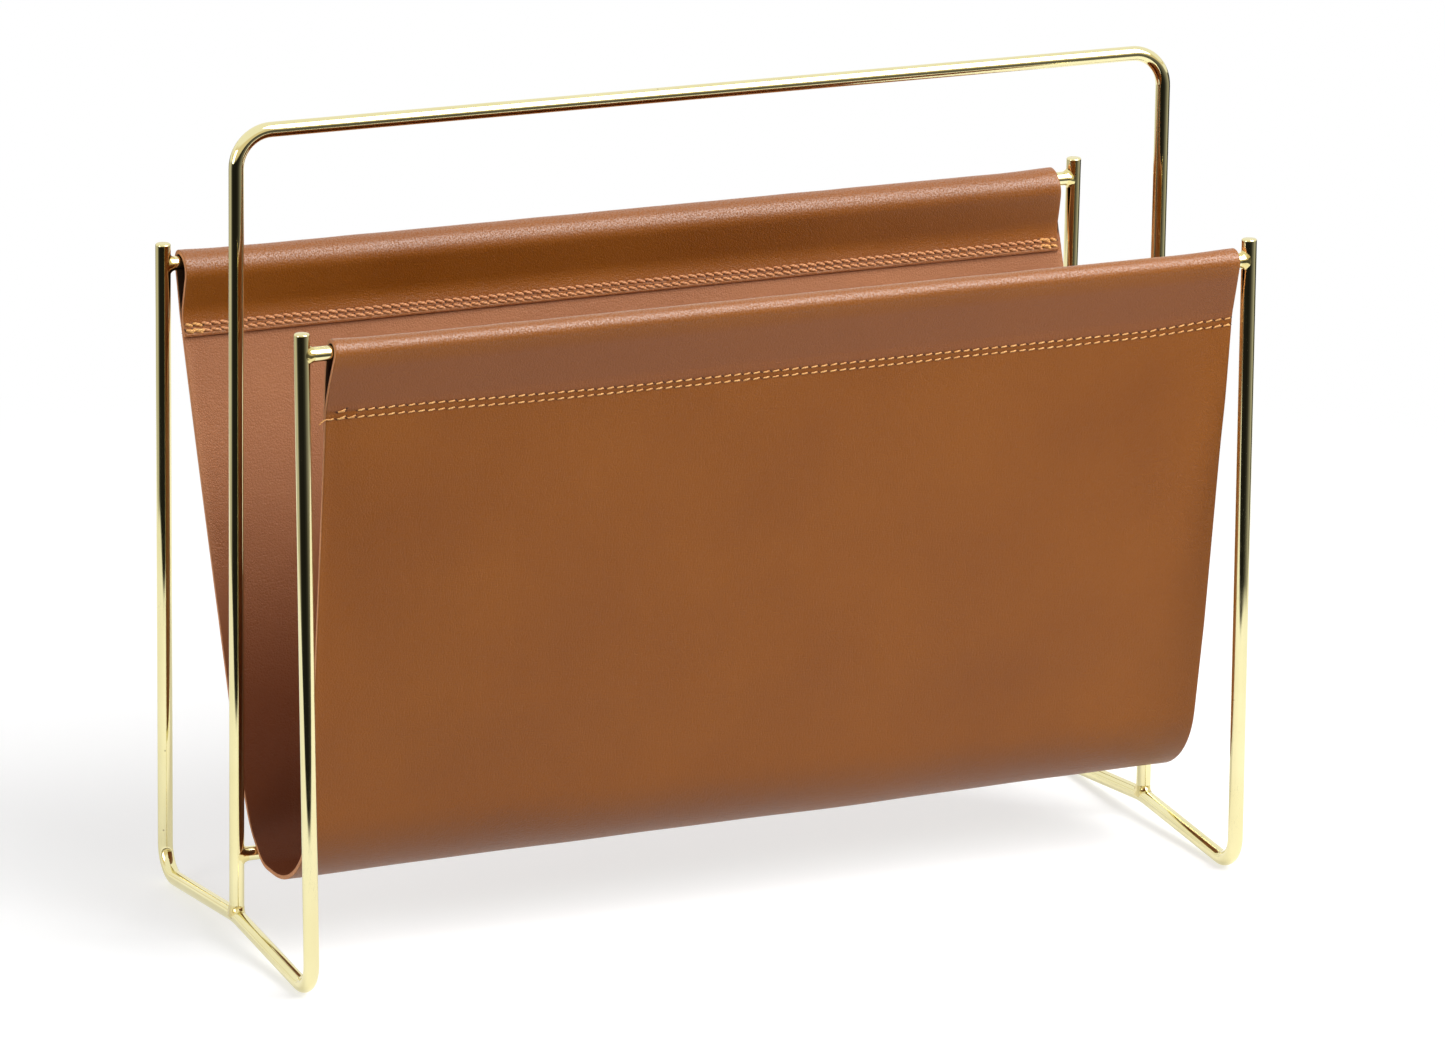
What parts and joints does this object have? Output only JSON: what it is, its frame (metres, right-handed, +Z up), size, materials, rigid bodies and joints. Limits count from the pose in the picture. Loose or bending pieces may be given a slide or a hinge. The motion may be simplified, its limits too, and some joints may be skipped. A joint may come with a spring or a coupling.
{
  "type": "magazine rack",
  "caption": "Low floor rack of polished brass wire with a tall carrying hoop, holding a soft leather sling for magazines and books.",
  "frame": {"origin": "on the floor, under the middle of the rack", "axes": "+X along the rods, -Y to the front, +Z up"},
  "size_m": [0.4264, 0.1744, 0.3422],
  "materials": {
    "brass_wire": "polished",
    "leather": "smooth, lightly grained",
    "thread": "waxed thread"
  },
  "bodies": {
    "frame": {"left_end_frame": "brass_wire", "right_end_frame": "brass_wire", "carrying_hoop": "brass_wire", "front_top_rod": "brass_wire", "rear_top_rod": "brass_wire", "bottom_rod": "brass_wire", "front_rod_welds": "brass_wire", "rear_rod_welds": "brass_wire", "bottom_rod_welds": "brass_wire", "hoop_foot_welds": "brass_wire"},
    "sling": {"leather_sling": "leather", "front_upper_stitches": "thread", "front_lower_stitches": "thread", "rear_upper_stitches": "thread", "rear_lower_stitches": "thread"}
  },
  "joints": [
    {"name": "sling_slide", "type": "slide", "parent": "frame", "child": "sling", "axis": [1, 0, 0], "range_m": [-0.0029, 0.0029]}
  ]
}
